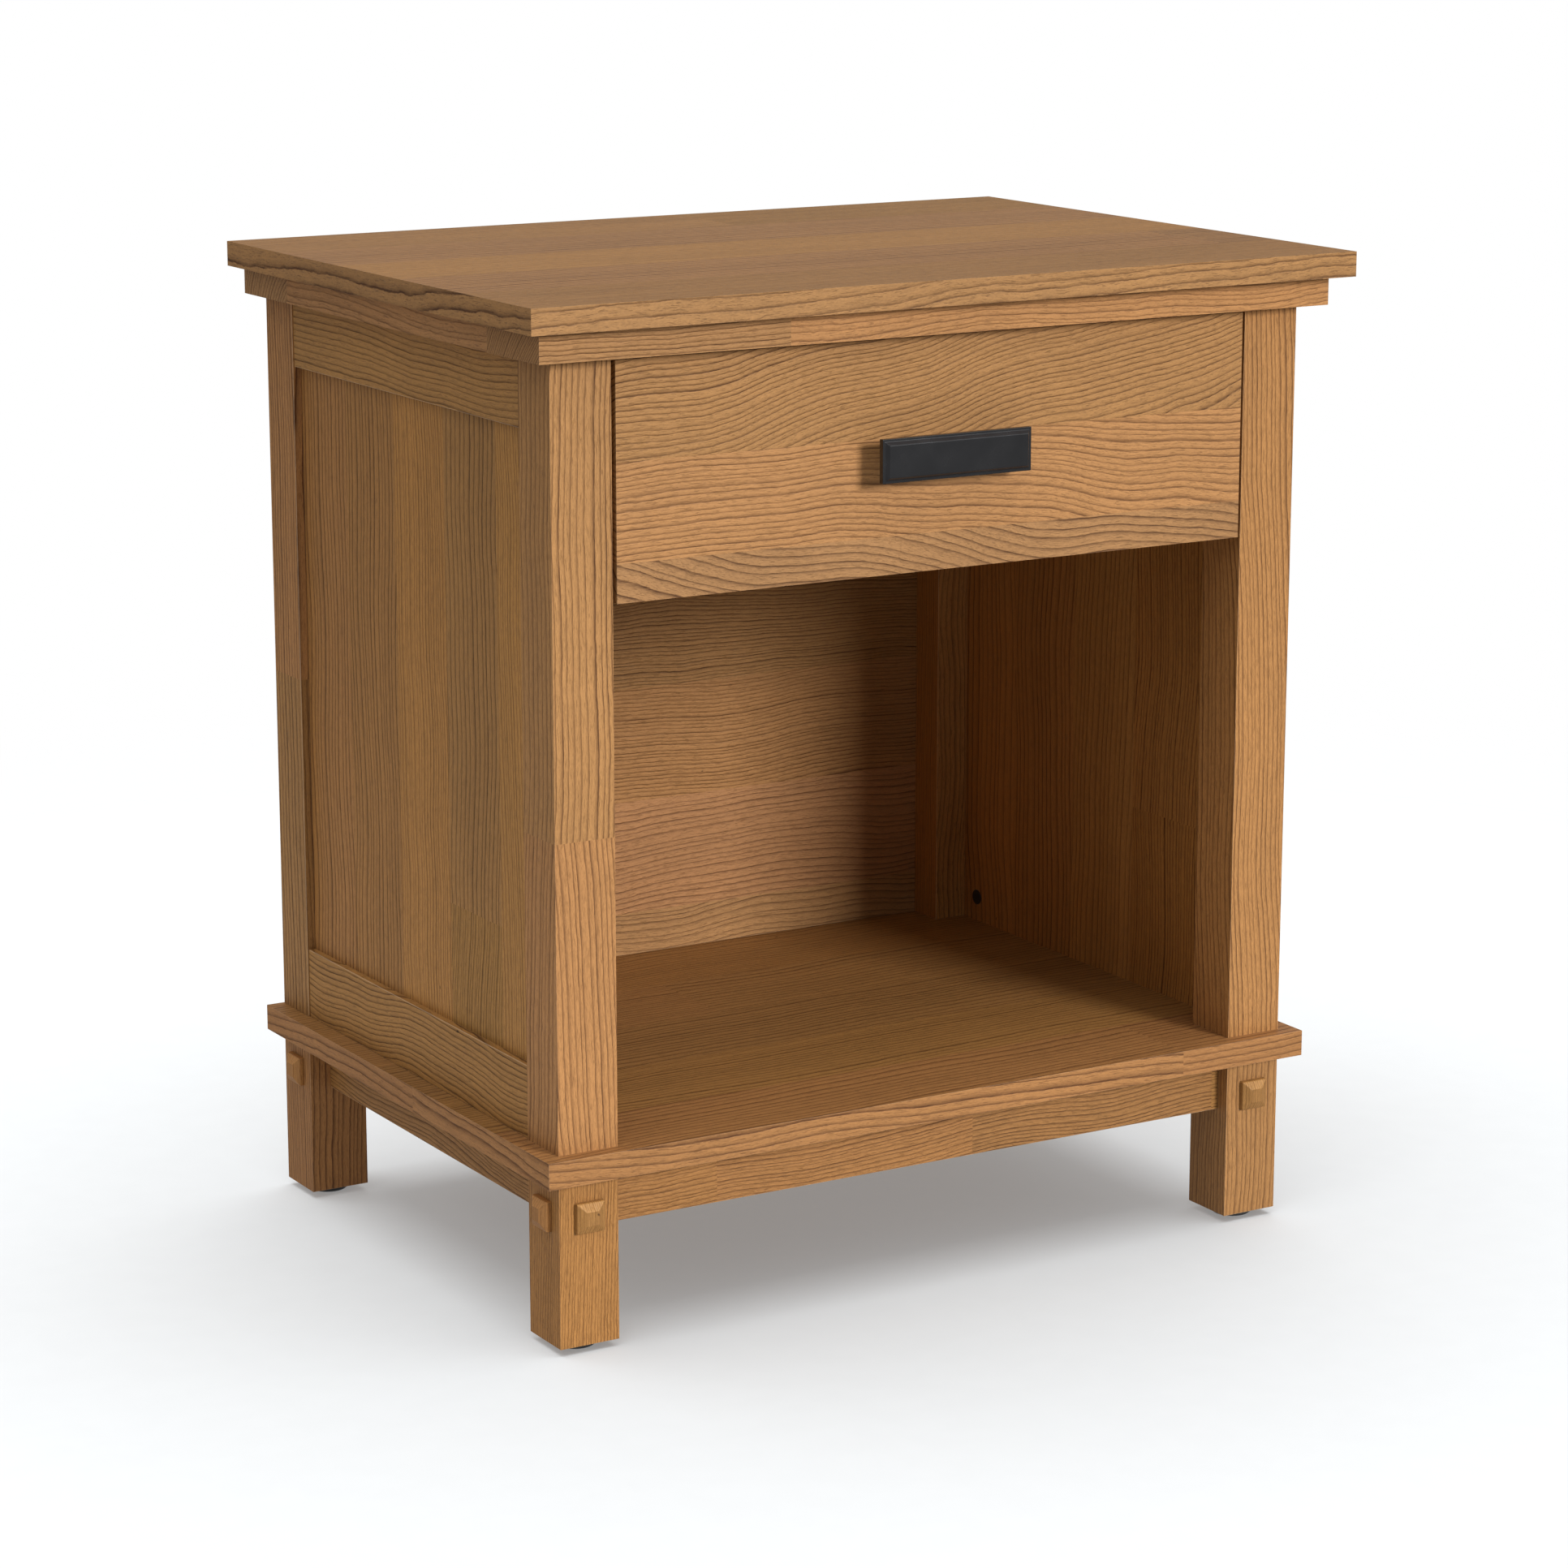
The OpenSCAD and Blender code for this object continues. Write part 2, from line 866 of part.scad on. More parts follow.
apron_long(front_apron_y);  // apron_front
apron_long(rear_apron_y);  // apron_rear
apron_side(-1);  // apron_left
apron_side(1);  // apron_right
corner_blocks();
base_screws();
pegs_front();
pegs_side(-1);  // pegs_left
pegs_side(1);  // pegs_right
leg_glides();
post_dowels_lower();
post_dowels_upper();
top_screws();
panel_caps();
slide_cleat(-1);  // slide_cleat_left
slide_cleat(1);  // slide_cleat_right
slide_outer(-1);  // slide_outer_left
slide_outer(1);  // slide_outer_right
cleat_screws();
slide_middle(-1);  // slide_middle_left
slide_middle(1);  // slide_middle_right
ball_cage_outer(-1);  // ball_cage_outer_left
ball_cage_outer(1);  // ball_cage_outer_right
ball_cage_inner(-1);  // ball_cage_inner_left
ball_cage_inner(1);  // ball_cage_inner_right
slide_inner(-1);  // slide_inner_left
slide_inner(1);  // slide_inner_right
drawer_slide_screws();
drawer_front();
drawer_box_front();
drawer_side(-1);  // drawer_side_left
drawer_side(1);  // drawer_side_right
drawer_back();
drawer_bottom();
drawer_front_screws();
drawer_pull();
pull_screws();
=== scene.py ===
import json
import math

import bmesh
import bpy
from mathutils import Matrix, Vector


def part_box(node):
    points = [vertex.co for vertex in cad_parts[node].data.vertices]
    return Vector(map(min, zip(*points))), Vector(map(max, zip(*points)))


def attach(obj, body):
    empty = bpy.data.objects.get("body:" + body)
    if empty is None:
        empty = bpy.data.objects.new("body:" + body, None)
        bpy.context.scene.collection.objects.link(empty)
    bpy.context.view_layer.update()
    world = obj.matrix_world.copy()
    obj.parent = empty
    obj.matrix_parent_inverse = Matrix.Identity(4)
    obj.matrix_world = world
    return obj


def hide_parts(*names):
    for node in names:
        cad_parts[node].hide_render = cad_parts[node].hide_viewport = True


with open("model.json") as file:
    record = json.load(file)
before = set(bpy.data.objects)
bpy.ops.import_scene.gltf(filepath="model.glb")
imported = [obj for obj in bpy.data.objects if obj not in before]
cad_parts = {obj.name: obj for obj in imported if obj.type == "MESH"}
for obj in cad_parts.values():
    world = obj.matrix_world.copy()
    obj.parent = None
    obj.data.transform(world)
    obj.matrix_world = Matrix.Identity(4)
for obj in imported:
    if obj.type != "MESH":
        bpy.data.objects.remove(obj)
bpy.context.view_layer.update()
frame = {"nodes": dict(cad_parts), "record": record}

MM = 0.001

# Honey wood, linear: the colour between the rings on each kind of board, then the colour of the dark lines.
# The base and the shelf are a little deeper than the rest, and the sides a little yellower. The pegs have the
# mild lines.
HONEY_LIGHT = (0.375, 0.187, 0.070)
HONEY_SIDE = (0.395, 0.191, 0.053)
HONEY_POST = (0.390, 0.192, 0.061)
HONEY_WARM = (0.325, 0.155, 0.047)
HONEY_DARK = (0.058, 0.016, 0.003)
HONEY_MILD = (0.170, 0.070, 0.018)

# Pale wood of the inner parts, and the edge colour of any wood: partly rubbed wear, partly a painted
# highlight
PALE_LIGHT = (0.66, 0.50, 0.31)
PALE_DARK = (0.50, 0.34, 0.18)
EDGE_WEAR_AND_HIGHLIGHT_WOOD = (1.0, 0.86, 0.66)

# Painted shade and painted highlight on faces that look up: the top is painted darker, the pegs' upper facets
# lighter. Each gives its tint, and the up part of the normal where the tint starts and is full.
TOP_PAINTED_SHADE = dict(tint=(0.87, 0.83, 0.68), start=0.7, full=0.95)
PEG_PAINTED_LIGHT = dict(tint=(1.45, 1.50, 1.60), start=0.2, full=0.4)

# Metal, plastic and floor
BLACK_PAINT = (0.007, 0.007, 0.008)
# The paint's edge colour: partly rubbed wear, partly a painted highlight
BLACK_PAINT_WEAR_AND_HIGHLIGHT = (0.018, 0.018, 0.020)
BLACK_PLASTIC = (0.012, 0.012, 0.013)
BLACK_PLASTIC_DUSTY = (0.030, 0.030, 0.030)
ZINC_BRIGHT = (0.70, 0.72, 0.74)
ZINC_DULL = (0.50, 0.53, 0.57)
FLOOR_WHITE = (0.490, 0.507, 0.518)
FLOOR_GLOW = 0.24
WHITE = (1.0, 1.0, 1.0)

# Wood: how often each kind of noise changes per mm along the grain, across it and into the board
BEND_RATE = (0.0060, 0.0060, 0.0060)
RIPPLE_RATE = (0.050, 0.035, 0.035)
JAG_RATE = (0.22, 0.20, 0.20)
SMEAR_RATE = (0.06, 0.9, 0.9)
FIBRE_RATE = (0.06, 1.5, 1.5)
HAIR_RATE = (0.45, 2.6, 2.6)
PORE_RATE = (0.14, 3.2, 3.2)
CLOUD_RATE = (0.006, 0.03, 0.03)
KNOT_RATE = (0.11, 0.22, 0.22)

# How far the rings are pushed about, in mm
BEND_REACH = 24.0
RIPPLE_REACH = 1.15
JAG_REACH = 0.42

# How far to the side of a stave its pith lies, in mm, for quarter-sawn and for flat-sawn staves
PITH_ASIDE_QUARTER = 160.0
PITH_ASIDE_FLAT = 20.0

# What tells staves apart: how much of a length the joints of the next stave are shifted, what gives the same
# place a second set of random numbers, and how far apart in mm the staves' noise and their fibres lie
JOINT_STAGGER = 0.37
SECOND_CHANCE = (31.7, 5.3, 11.9)
NOISE_APART = (900.0, 900.0, 900.0)
FIBRES_APART = (53.0, 71.0, 91.0)

# Ring widths: the narrowest and widest as shares of a board's spacing, and how they vary from year to year
RING_NARROW = 0.75
RING_WIDE = 1.3
UNEVEN_RATE = (0.45, 40.0, 40.0)
UNEVEN_REACH = 0.9

# A ring's dark line starts sharply at LINE_START of a year. It fades sooner with a larger LINE_FADE, and
# stays fully dark for longer with a larger LINE_FULL.
LINE_FADE = 5.5
LINE_FULL = 1.4
LINE_START = 0.94

# A pore shows where its noise is over a need, which is lower on a dark line. Then how dark it is.
PORE_NEED = 0.60
PORE_NEED_ON_LINE = 0.48
PORE_DARK = 0.40

# A knot starts where its noise is over one value and is full over the other. Its colour is the colour of the
# dark lines times its shade.
KNOT_START = 0.915
KNOT_FULL = 0.94
KNOT_SHADE = (0.35, 0.3, 0.3)

# How much each thing changes the tone, the roughness and the height of the wood
TONE = dict(fibre=0.66, hair=0.62, cloud=0.30, stave=0.20)
ROUGH = dict(base=0.46, line=0.14, fibre=0.10)
RELIEF = dict(line=-0.62, pore=-0.5, fibre=0.42, hair=0.10)

# Depth of the wood's relief, and the gloss of its finish
RELIEF_DEPTH = 0.25 * MM
WOOD_SPECULAR = 0.22

# A turned end is a face whose normal is more than this along X. Its place across the grain is moved by this
# many mm, so that no joint between staves crosses it.
TURNED_FROM = 0.72
TURNED_OFFSET = 30.0

# A face is flat where the largest part of its normal is over one value, and an eased edge where it is under
# the other. The boards are square to the frame's axes.
FLAT_FACE = 0.985
SLANTED_FACE = 0.90

# Eased edges, in metres
BOARD_EDGE = 0.7 * MM
SMALL_EDGE = 0.35 * MM
SHEET_EDGE = 0.2 * MM

# Vertices closer than this are one, and faces that turn less than this, in degrees, are one flat
WELD = 0.002 * MM
FLAT_TURN = 0.5

# Cross recess and rounded rim of a screw head
CROSS_REACH = 2.0 * MM
CROSS_HALF_WIDTH = 0.5 * MM
CROSS_DEPTH = 1.0 * MM
CROSS_TAPER = 0.6
DOME_SHARE = 0.75
DOME_INSET = 0.35
DOME_STEPS = 5
SCREW_SIDES = 24
SHARP_TURN = 30

# How often the marks on zinc change per metre along X, Y and Z: rolled along Y, and turned
ROLLED_MARKS = (2400.0, 25.0, 2400.0)
TURNED_MARKS = (2400.0, 2400.0, 60.0)

# Floor, in metres: its radius, and the shares of it where it starts to fade and is gone
FLOOR_RADIUS = 1.9
FADE_START = 0.42
FADE_END = 0.95

# Sky, by how far up a direction looks, from 0 for level to 1 for straight up: where the band half way up and
# the light overhead start, and where the walls that only glossy surfaces see end. Then the strength of each.
BAND_START = 0.15
OVERHEAD_START = 0.55
WALLS_END = 0.6
OVERHEAD_LIGHT = 1.4
BAND_LIGHT = 0.6
WALLS_LIGHT = 0.3
LEAST_LIGHT = 0.02

# What the lamps look at, and the camera, in metres, mm and degrees
MIDDLE = Vector((0, 0, 0.35))
CAMERA_PLACE = (-1.5083, -2.5309, 0.9795)
CAMERA_AZIMUTH = -30.77
CAMERA_LOOKS_DOWN = 12.99
CAMERA_LENS = 101.9
CAMERA_SENSOR = 36.0


# ---------------------------------------------------------------- shader building

class Shader:
    """Adds nodes to one tree with short calls. Each call returns the output that carries the result."""

    def __init__(self, tree):
        self.tree = tree

    def add(self, kind, inputs=None, out=0, **settings):
        node = self.tree.nodes.new(kind)
        for name, value in settings.items():
            setattr(node, name, value)
        for key, value in (inputs or {}).items():
            self.put(node.inputs[key], value)
        return node.outputs[out]

    def put(self, socket, value):
        if isinstance(value, bpy.types.NodeSocket):
            self.tree.links.new(value, socket)
        else:
            socket.default_value = value

    def math(self, operation, a, b=0.0, c=0.0):
        return self.add("ShaderNodeMath", {0: a, 1: b, 2: c}, operation=operation)

    def times(self, a, b):
        return self.math("MULTIPLY", a, b)

    def minus(self, a, b):
        return self.math("SUBTRACT", a, b)

    def vector(self, operation, a, b=(0.0, 0.0, 0.0)):
        return self.add("ShaderNodeVectorMath", {0: a, 1: b}, operation=operation)

    def scaled(self, vector, factors):
        return self.vector("MULTIPLY", vector, factors)

    def length(self, vector):
        return self.add("ShaderNodeVectorMath", {0: vector}, out=1, operation="LENGTH")

    def split(self, vector):
        node = self.tree.nodes.new("ShaderNodeSeparateXYZ")
        self.put(node.inputs[0], vector)
        return node.outputs[0], node.outputs[1], node.outputs[2]

    def join(self, x, y, z):
        return self.add("ShaderNodeCombineXYZ", {0: x, 1: y, 2: z})

    def place(self, kind="Object"):
        """A texture coordinate: "Object" for the place in the frame, "Normal" for the way the face looks."""
        return self.add("ShaderNodeTexCoord", out=kind)

    def noise(self, vector, scale=1.0, detail=2.0, roughness=0.5):
        inputs = {"Vector": vector, "Scale": scale, "Detail": detail, "Roughness": roughness}
        return self.add("ShaderNodeTexNoise", inputs, noise_dimensions="3D")

    def swing(self, vector, reach, detail=1.0):
        """Noise that swings between about -reach and +reach."""
        return self.times(self.minus(self.noise(vector, detail=detail), 0.5), 2 * reach)

    def around(self, value, amount):
        """A value from 0 to 1, turned into an amount either side of 0."""
        return self.times(self.minus(value, 0.5), amount)

    def chance(self, vector):
        """Three steady random numbers from 0 to 1 for each place."""
        return self.split(self.add("ShaderNodeTexWhiteNoise", {"Vector": vector}, out="Color"))

    def blend(self, value, low, high, to_low=0.0, to_high=1.0, kind="SMOOTHSTEP"):
        """value goes from low to high, the result from to_low to to_high."""
        inputs = {"Value": value, "From Min": low, "From Max": high, "To Min": to_low, "To Max": to_high}
        return self.add("ShaderNodeMapRange", inputs, interpolation_type=kind)

    def ramp(self, value, low, high, to_low, to_high):
        """As blend, in a straight line."""
        return self.blend(value, low, high, to_low, to_high, "LINEAR")

    def spread(self, value, to_low, to_high):
        """A value from 0 to 1, spread over another range."""
        return self.ramp(value, 0.0, 1.0, to_low, to_high)

    def mix(self, factor, a, b, how="MIX"):
        inputs = {"Factor": factor, 6: a, 7: b}
        return self.add("ShaderNodeMix", inputs, out=2, data_type="RGBA", blend_type=how)

    def total(self, *values):
        result = values[0]
        for value in values[1:]:
            result = self.math("ADD", result, value)
        return result


def rgba(colour):
    return (*colour, 1.0)


def new_material(name):
    material = bpy.data.materials.new(name)
    material.use_nodes = True
    tree = material.node_tree
    tree.nodes.clear()
    s = Shader(tree)
    bsdf = tree.nodes.new("ShaderNodeBsdfPrincipled")
    output = tree.nodes.new("ShaderNodeOutputMaterial")
    tree.links.new(bsdf.outputs[0], output.inputs["Surface"])
    return material, s, bsdf


def add_bump(s, bsdf, height, strength, distance):
    bump = s.add("ShaderNodeBump", {"Strength": strength, "Distance": distance, "Height": height})
    s.put(bsdf.inputs["Normal"], bump)


def eased_edge(s):
    """1 on the narrow slanted faces along the edges of a square-cut board, 0 on its flat faces."""
    nx, ny, nz = s.split(s.vector("ABSOLUTE", s.place("Normal")))
    largest = s.math("MAXIMUM", s.math("MAXIMUM", nx, ny), nz)
    return s.blend(largest, FLAT_FACE, SLANTED_FACE)


# ---------------------------------------------------------------- wood

# The wood group's inputs and their values where a board doesn't set its own. Lengths are in mm.
WOOD_INPUTS = {
    "Stave width": 90.0,
    "Stave shift": 0.0,
    "Joint length": 2000.0,
    "Joint place": 1000.0,
    "Ring spacing": 5.0,
    "Flat sawn": 0.5,
    "Pith depth": 40.0,
    "Swirl": 1.0,
    "Lean": 0.05,
    "Wiggle": 1.0,
    "Seed": 0.0,
}


def wood_tree():
    """The wood group's empty tree, with its sockets. Gives the tree and its inputs."""
    tree = bpy.data.node_groups.new("solid_wood", "ShaderNodeTree")
    face = tree.interface
    face.new_socket("Grain", in_out="INPUT", socket_type="NodeSocketVector")
    for name, value in WOOD_INPUTS.items():
        socket = face.new_socket(name, in_out="INPUT", socket_type="NodeSocketFloat")
        socket.default_value = value
    face.new_socket("Light", in_out="INPUT", socket_type="NodeSocketColor")
    face.new_socket("Dark", in_out="INPUT", socket_type="NodeSocketColor")
    face.new_socket("Colour", in_out="OUTPUT", socket_type="NodeSocketColor")
    face.new_socket("Roughness", in_out="OUTPUT", socket_type="NodeSocketFloat")
    face.new_socket("Height", in_out="OUTPUT", socket_type="NodeSocketFloat")
    return tree, tree.nodes.new("NodeGroupInput").outputs


def wood_group():
    """Solid wood, glued up from staves. Grain space is in mm: X along the grain, Y across it, Z inwards."""
    tree, given = wood_tree()
    s = Shader(tree)
    u, v, w = s.split(given["Grain"])

    # Which stave, and which length of it. Each has random numbers of its own.
    stave = s.math("FLOOR", s.math("DIVIDE", s.math("ADD", v, given["Stave shift"]), given["Stave width"]))
    from_joint = s.math("DIVIDE", s.minus(u, given["Joint place"]), given["Joint length"])
    piece = s.math("FLOOR", s.math("ADD", from_joint, s.times(stave, JOINT_STAGGER)))
    place = s.join(stave, piece, given["Seed"])
    r1, r2, r3 = s.chance(place)
    r4, r5, r6 = s.chance(s.vector("ADD", place, SECOND_CHANCE))
    middle = s.minus(s.times(s.math("ADD", stave, 0.5), given["Stave width"]), given["Stave shift"])
    across = s.minus(v, middle)
    own = s.vector("ADD", given["Grain"], s.scaled(s.join(r4, r5, r6), NOISE_APART))

    # The rings lie round a pith that runs nearly along the grain
    toward = s.math("SIGN", s.spread(r1, -1.0, 1.0))
    pith_v = s.times(toward, s.spread(given["Flat sawn"], PITH_ASIDE_QUARTER, PITH_ASIDE_FLAT))
    pith_w = s.times(given["Pith depth"], s.spread(r2, 0.5, 1.5))
    tilt = s.math("POWER", s.times(s.math("ABSOLUTE", s.minus(r3, 0.5)), 2.0), 2.0)
    lean_v = s.times(s.times(tilt, s.math("SIGN", s.minus(r3, 0.5))), given["Lean"])
    lean_w = s.times(s.minus(r5, 0.5), given["Lean"])
    off_v = s.total(across, pith_v, s.times(u, lean_v))
    off_w = s.total(w, pith_w, s.times(u, lean_w))
    radius = s.length(s.join(off_v, off_w, 0.0))

    # A tree doesn't grow round: the rings bend, ripple and have small teeth
    bend = s.times(s.swing(s.scaled(own, BEND_RATE), BEND_REACH), given["Swirl"])
    ripple = s.times(s.swing(s.scaled(own, RIPPLE_RATE), RIPPLE_REACH), given["Wiggle"])
    jag = s.times(s.swing(s.scaled(own, JAG_RATE), JAG_REACH, detail=2.0), given["Wiggle"])
    warped = s.total(radius, bend, ripple, jag)
    spacing = s.times(given["Ring spacing"], s.blend(r6, 0.0, 1.0, RING_NARROW, RING_WIDE))
    years = s.math("DIVIDE", warped, spacing)
    uneven = s.swing(s.scaled(s.join(years, r1, r2), UNEVEN_RATE), UNEVEN_REACH)
    years = s.math("ADD", years, uneven)
    part = s.math("FRACT", years)
    year_r1, _, _ = s.chance(s.join(s.math("FLOOR", years), r3, r4))

    # Each year has a dark line with one sharp side and one soft side. It varies by year, stave and place.
    fading = s.times(s.math("POWER", s.minus(1.0, part), LINE_FADE), LINE_FULL)
    soft_side = s.math("MINIMUM", fading, 1.0)
    sharp_side = s.blend(part, LINE_START, 1.0)
    strength = s.times(s.spread(year_r1, 0.60, 1.0), s.spread(r5, 1.05, 0.80))
    line = s.times(s.math("MAXIMUM", soft_side, sharp_side), strength)
    smear = s.noise(s.scaled(own, SMEAR_RATE), detail=2.0)
    line = s.times(line, s.ramp(smear, 0.3, 0.6, 0.6, 1.0))

    # Fibres, hairs and pores follow the rings
    ring_place = s.join(u, warped, s.times(v, 0.3))
    along_rings = s.vector("ADD", ring_place, s.scaled(place, FIBRES_APART))
    fibre = s.noise(s.scaled(along_rings, FIBRE_RATE), detail=3.0, roughness=0.7)
    hair = s.noise(s.scaled(along_rings, HAIR_RATE), detail=2.0, roughness=0.7)
    pore_field = s.noise(s.scaled(along_rings, PORE_RATE), detail=1.0)
    pore_need = s.ramp(line, 0.0, 0.8, PORE_NEED, PORE_NEED_ON_LINE)
    pore = s.blend(s.minus(pore_field, pore_need), 0.0, 0.08)

    # Slow changes of tone, and a knot now and then
    cloud = s.noise(s.scaled(own, CLOUD_RATE), detail=2.0)
    knot_field = s.noise(s.scaled(own, KNOT_RATE), detail=0.0)
    knot = s.blend(knot_field, KNOT_START, KNOT_FULL)

    tone = s.total(
        s.around(fibre, TONE["fibre"]),
        s.around(hair, TONE["hair"]),
        s.around(cloud, TONE["cloud"]),
        s.around(r5, TONE["stave"]),
        1.0,
    )
    rose = s.spread(r4, 0.96, 1.05)
    gold = s.spread(r6, 0.90, 1.10)
    tint = s.join(s.times(tone, rose), tone, s.times(tone, gold))
    dark_share = s.math("MAXIMUM", line, s.times(pore, PORE_DARK))
    base = s.mix(dark_share, given["Light"], given["Dark"])
    toned = s.mix(1.0, base, tint, "MULTIPLY")
    knotted = s.mix(s.times(knot, 0.8), toned, s.scaled(given["Dark"], KNOT_SHADE))

    # The lines and pores lie low, and the lines are a little rougher
    rough = s.total(ROUGH["base"], s.times(line, ROUGH["line"]), s.times(fibre, ROUGH["fibre"]))
    height = s.total(
        s.times(line, RELIEF["line"]),
        s.times(pore, RELIEF["pore"]),
        s.times(fibre, RELIEF["fibre"]),
        s.times(hair, RELIEF["hair"]),
    )
    result = tree.nodes.new("NodeGroupOutput").inputs
    s.put(result["Colour"], knotted)
    s.put(result["Roughness"], rough)
    s.put(result["Height"], height)
    return tree


def grain_place(s, node, grain, turned_ends):
    """The place in grain space, in mm. Widths start at the board's lower edge, and depths at its middle.
    Lengths are from the frame's origin."""
    low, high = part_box(node)
    lowest = dict(zip("XYZ", low))
    highest = dict(zip("XYZ", high))
    along, _, into = grain
    start = dict(lowest)
    start[along] = 0.0
    start[into] = (lowest[into] + highest[into]) / 2
    in_mm = s.vector("SCALE", s.vector("SUBTRACT", s.place(), tuple(start.values())))
    in_mm.node.inputs["Scale"].default_value = 1 / MM
    parts = dict(zip("XYZ", s.split(in_mm)))
    straight = s.join(*(parts[axis] for axis in grain))
    if not turned_ends:
        return straight
    # The ends carry a lipping whose grain runs along them
    turned = s.join(parts["Y"], s.math("ADD", parts["Z"], TURNED_OFFSET), parts["X"])
    nx, _, _ = s.split(s.vector("ABSOLUTE", s.place("Normal")))
    at_end = s.math("GREATER_THAN", nx, TURNED_FROM)
    return s.add("ShaderNodeMix", {"Factor": at_end, 4: straight, 5: turned}, out=1, data_type="VECTOR")


def wood_material(name, node, grain, light, dark, turned_ends=False, edge_light=0.16, upward=None,
                  **figure):
    """grain names the frame axes along the grain, across the board's face and into it, such as "XZY".
    The edge share tells how much the edges are painted lighter, partly as rubbed wear and partly as a painted
    highlight. The tint for faces that look up paints shade on the top and a highlight on the pegs."""
    material, s, bsdf = new_material(name)
    wood = s.tree.nodes.new("ShaderNodeGroup")
    wood.node_tree = WOOD
    s.put(wood.inputs["Grain"], grain_place(s, node, grain, turned_ends))
    s.put(wood.inputs["Light"], rgba(light))
    s.put(wood.inputs["Dark"], rgba(dark))
    for key, value in figure.items():
        s.put(wood.inputs[key.replace("_", " ").capitalize()], value)

    # Edges are painted lighter and made smoother: the colour is partly rubbed wear and partly a painted
    # highlight
    edge = eased_edge(s)
    wood_wear_and_highlight = s.times(edge, edge_light)
    colour = s.mix(wood_wear_and_highlight, wood.outputs["Colour"], rgba(light))
    colour = s.mix(wood_wear_and_highlight, colour, rgba(EDGE_WEAR_AND_HIGHLIGHT_WOOD))
    # Painted shade and painted highlight by face direction: faces that look up are tinted, darker on the top,
    # lighter on the pegs
    if upward:
        _, _, nz = s.split(s.place("Normal"))
        share = s.blend(nz, upward["start"], upward["full"])
        colour = s.mix(share, colour, s.scaled(colour, upward["tint"]))
    s.put(bsdf.inputs["Base Color"], colour)
    s.put(bsdf.inputs["Roughness"], s.math("ADD", wood.outputs["Roughness"], s.times(edge, -0.08)))
    add_bump(s, bsdf, wood.outputs["Height"], strength=0.8, distance=RELIEF_DEPTH)
    bsdf.inputs["Specular IOR Level"].default_value = WOOD_SPECULAR
    return material


# ---------------------------------------------------------------- metal and plastic

def black_paint():
    """Satin black paint with fine orange peel. Its edges are painted lighter, partly as rubbed wear and
    partly as a painted highlight.
    """
    material, s, bsdf = new_material("black_metal_satin")
    coords = s.place()
    peel = s.noise(coords, scale=1500.0, detail=2.0)
    haze = s.noise(coords, scale=60.0, detail=3.0)
    # Edges painted lighter: partly rubbed wear, partly a painted highlight
    paint_wear_and_highlight = s.times(eased_edge(s), s.blend(haze, 0.3, 0.7, 0.35, 0.9))
    s.put(bsdf.inputs["Base Color"], s.mix(paint_wear_and_highlight, rgba(BLACK_PAINT), rgba(BLACK_PAINT_WEAR_AND_HIGHLIGHT)))
    s.put(bsdf.inputs["Roughness"], s.ramp(haze, 0.25, 0.75, 0.23, 0.29))
    add_bump(s, bsdf, peel, strength=0.15, distance=0.02 * MM)
    bsdf.inputs["Specular IOR Level"].default_value = 0.5
    return material


def black_plastic():
    """Moulded plastic with a fine spark texture and a little dust."""
    material, s, bsdf = new_material("black_plastic_moulded")
    coords = s.place()
    grit = s.noise(coords, scale=2600.0, detail=2.0)
    dust = s.noise(coords, scale=220.0, detail=4.0)
    amount = s.blend(dust, 0.45, 0.80)
    s.put(bsdf.inputs["Base Color"], s.mix(amount, rgba(BLACK_PLASTIC), rgba(BLACK_PLASTIC_DUSTY)))
    s.put(bsdf.inputs["Roughness"], s.ramp(dust, 0.2, 0.8, 0.42, 0.62))
    add_bump(s, bsdf, grit, strength=0.35, distance=0.03 * MM)
    return material


def zinc_steel(name, marks_rate):
    """Zinc-plated steel with fine marks, drawn out along the axis where they change least often."""
    material, s, bsdf = new_material(name)
    coords = s.place()
    marks = s.noise(s.scaled(coords, marks_rate), detail=2.0)
    cloud = s.noise(coords, scale=90.0, detail=3.0)
    dull = s.total(s.times(marks, 0.5), s.times(cloud, 0.7), -0.15)
    s.put(bsdf.inputs["Base Color"], s.mix(s.blend(dull, 0.2, 0.8), rgba(ZINC_BRIGHT), rgba(ZINC_DULL)))
    s.put(bsdf.inputs["Roughness"], s.ramp(dull, 0.2, 0.8, 0.24, 0.42))
    add_bump(s, bsdf, marks, strength=0.2, distance=0.03 * MM)
    bsdf.inputs["Metallic"].default_value = 1.0
    return material


# ---------------------------------------------------------------- which node gets what

# What boards of one kind share. Widths, shifts, joints, rings and depths are in mm.
FRAME_SIDE = dict(grain="YXZ", ring_spacing=2.6, flat_sawn=0.5, swirl=0.3, wiggle=0.5, pith_depth=80)
POST = dict(grain="ZXY", light=HONEY_POST, ring_spacing=2.8, flat_sawn=0.4, swirl=0.28, wiggle=0.45,
            pith_depth=90)
SIDE_PANEL = dict(grain="ZYX", light=HONEY_SIDE, ring_spacing=4.4, flat_sawn=0.25, swirl=0.5, wiggle=0.5)
UPPER_RAIL = dict(grain="YZX", light=HONEY_SIDE, ring_spacing=2.6, flat_sawn=0.35, swirl=0.3, wiggle=0.4,
                  pith_depth=60)
LOWER_RAIL = dict(grain="YZX", light=HONEY_SIDE, ring_spacing=3.2, flat_sawn=0.35, swirl=0.8, wiggle=0.7)
LEG = dict(grain="ZXY", light=HONEY_WARM, ring_spacing=2.2, flat_sawn=0.35, swirl=0.3, wiggle=0.5,
           pith_depth=110)
APRON = dict(light=HONEY_WARM, ring_spacing=2.6, flat_sawn=0.3, swirl=0.5, wiggle=0.6, pith_depth=70)
PEG = dict(light=HONEY_WARM, dark=HONEY_MILD, edge_light=0.0, upward=PEG_PAINTED_LIGHT, ring_spacing=2.0,
           flat_sawn=0.1, swirl=0.3, wiggle=0.4)

